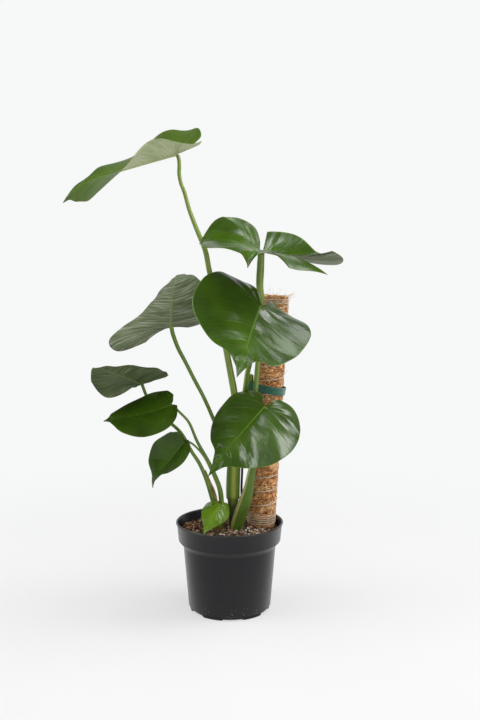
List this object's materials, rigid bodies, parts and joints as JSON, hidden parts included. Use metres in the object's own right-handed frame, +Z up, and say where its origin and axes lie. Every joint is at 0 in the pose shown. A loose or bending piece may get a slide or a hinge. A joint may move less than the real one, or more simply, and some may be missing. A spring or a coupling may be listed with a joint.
{
  "type": "potted swiss cheese plant",
  "caption": "Young swiss cheese plant with glossy heart-shaped leaves, one of them split, in a black nursery pot, tied to a coir pole.",
  "frame": {"origin": "centre of the pot's underside, on the surface it stands on", "axes": "+Z up, -Y towards the front from which the plant is seen, +X to the right"},
  "size_m": [0.4251, 0.2814, 0.7594],
  "materials": {
    "pot_plastic": "satin",
    "potting_mix": "rough",
    "stake_wood": "rough",
    "coir": "rough",
    "twine": "matte",
    "strap": "matte",
    "stem": "satin",
    "root": "rough",
    "dry_husk": "matte",
    "stalk": "satin",
    "leaf_blade": "satin",
    "young_leaf": "satin"
  },
  "bodies": {
    "root": {"pot": "pot_plastic", "soil": "potting_mix", "pole_stake": "stake_wood", "pole_coir": "coir", "pole_twine": "twine", "tie_strap": "strap", "main_stem": "stem", "offshoot_stem": "stem", "aerial_root": "root", "dry_sheath": "dry_husk", "stalk_top_left": "stalk", "stalk_top_right": "stalk", "stalk_middle": "stalk", "stalk_back_left": "stalk", "stalk_lower": "stalk", "stalk_low_back": "stalk", "stalk_low_middle": "stalk", "stalk_low_front": "stalk", "stalk_newest": "stalk", "leaf_top_left": "leaf_blade", "leaf_top_right": "leaf_blade", "leaf_middle": "leaf_blade", "leaf_lower": "leaf_blade", "leaf_back_left": "leaf_blade", "leaf_low_back": "leaf_blade", "leaf_low_middle": "leaf_blade", "leaf_low_front": "leaf_blade", "leaf_newest": "young_leaf"}
  },
  "joints": []
}
